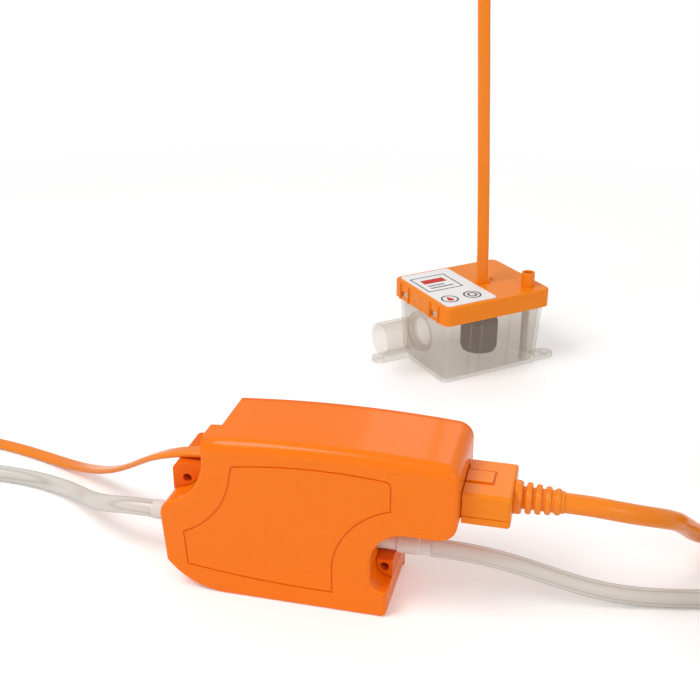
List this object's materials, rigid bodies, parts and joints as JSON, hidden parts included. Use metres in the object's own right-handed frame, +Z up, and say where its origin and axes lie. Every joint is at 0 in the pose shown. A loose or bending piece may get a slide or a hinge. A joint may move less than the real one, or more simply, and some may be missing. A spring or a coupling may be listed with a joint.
{
  "type": "condensate pump",
  "caption": "Orange condensate pump with clear hoses and a mains lead, and its small reservoir with a float under an orange lid.",
  "frame": {"origin": "middle of the flat underside of the pump unit", "axes": "+X along the unit to the power connector, +Y from its front face to its back, +Z up"},
  "size_m": [0.7028, 0.4131, 0.2863],
  "materials": {
    "shell_orange": "satin",
    "plate_orange": "matt",
    "clear_tank": "clear, slightly frosted",
    "clear_hose": "translucent",
    "black_plastic": "matt",
    "float_grey": "matt",
    "white_plastic": "satin",
    "lead_orange": "satin",
    "black_rubber": "matt",
    "steel": "brushed",
    "brass": "plain",
    "copper_winding": "lacquered copper wire",
    "board_green": "lacquered board",
    "label_card": "printed card",
    "magnet": "sintered"
  },
  "bodies": {
    "pump_and_tank": {"front_cover": "shell_orange", "rear_plate": "plate_orange", "casing_screws": "steel", "inlet_fitting": "white_plastic", "outlet_fitting": "white_plastic", "hose_cap": "clear_hose", "guide_tube": "brass", "coil_bobbin": "black_plastic", "coil_winding": "copper_winding", "yoke": "steel", "spring_inlet": "steel", "spring_outlet": "steel", "rubber_ring_inlet": "black_rubber", "rubber_ring_outlet": "black_rubber", "circuit_board": "board_green", "board_parts": "black_plastic", "power_socket": "shell_orange", "socket_pins": "brass", "lead_grommet": "lead_orange", "tank": "clear_tank", "tank_spigot": "clear_tank", "lid_gasket": "black_rubber", "sensor_lead": "lead_orange", "sensor_coil": "lead_orange", "sensor_connector": "black_plastic", "suction_hose": "clear_hose", "suction_coil": "clear_hose", "discharge_hose": "clear_hose", "discharge_coil": "clear_hose"},
    "piston_unit": {"piston": "steel"},
    "inlet_valve": {"valve_ball_inlet": "steel"},
    "outlet_valve": {"valve_ball_outlet": "steel"},
    "power_connector": {"plug_shell": "shell_orange", "strain_relief": "lead_orange", "power_lead": "lead_orange", "power_coil": "lead_orange", "power_lead_end": "lead_orange"},
    "lid_unit": {"lid": "shell_orange", "lid_label": "label_card", "sensor_stem": "white_plastic", "stem_clip": "white_plastic", "pickup_pipe": "clear_hose", "pickup_strainer": "white_plastic", "riser_cable": "lead_orange", "riser_clip": "black_plastic"},
    "float_unit": {"float": "float_grey", "float_magnet": "magnet"}
  },
  "joints": [
    {"name": "plug_pull", "type": "slide", "parent": "pump_and_tank", "child": "power_connector", "axis": [1, 0, 0], "range_m": [0, 0.014]},
    {"name": "lid_lift", "type": "slide", "parent": "pump_and_tank", "child": "lid_unit", "axis": [0, 0, 1], "range_m": [0, 0.03]},
    {"name": "float_travel", "type": "slide", "parent": "lid_unit", "child": "float_unit", "axis": [0, 0, 1], "range_m": [0, 0.018]},
    {"name": "piston_stroke", "type": "slide", "parent": "pump_and_tank", "child": "piston_unit", "axis": [1, 0, 0], "range_m": [-0.0025, 0.0025], "stiffness_N_per_m": 800, "deforming": ["spring_inlet", "spring_outlet"]},
    {"name": "inlet_valve_lift", "type": "slide", "parent": "pump_and_tank", "child": "inlet_valve", "axis": [1, 0, 0], "range_m": [0, 0.001], "stiffness_N_per_m": 20},
    {"name": "outlet_valve_lift", "type": "slide", "parent": "pump_and_tank", "child": "outlet_valve", "axis": [1, 0, 0], "range_m": [0, 0.001], "stiffness_N_per_m": 20}
  ]
}
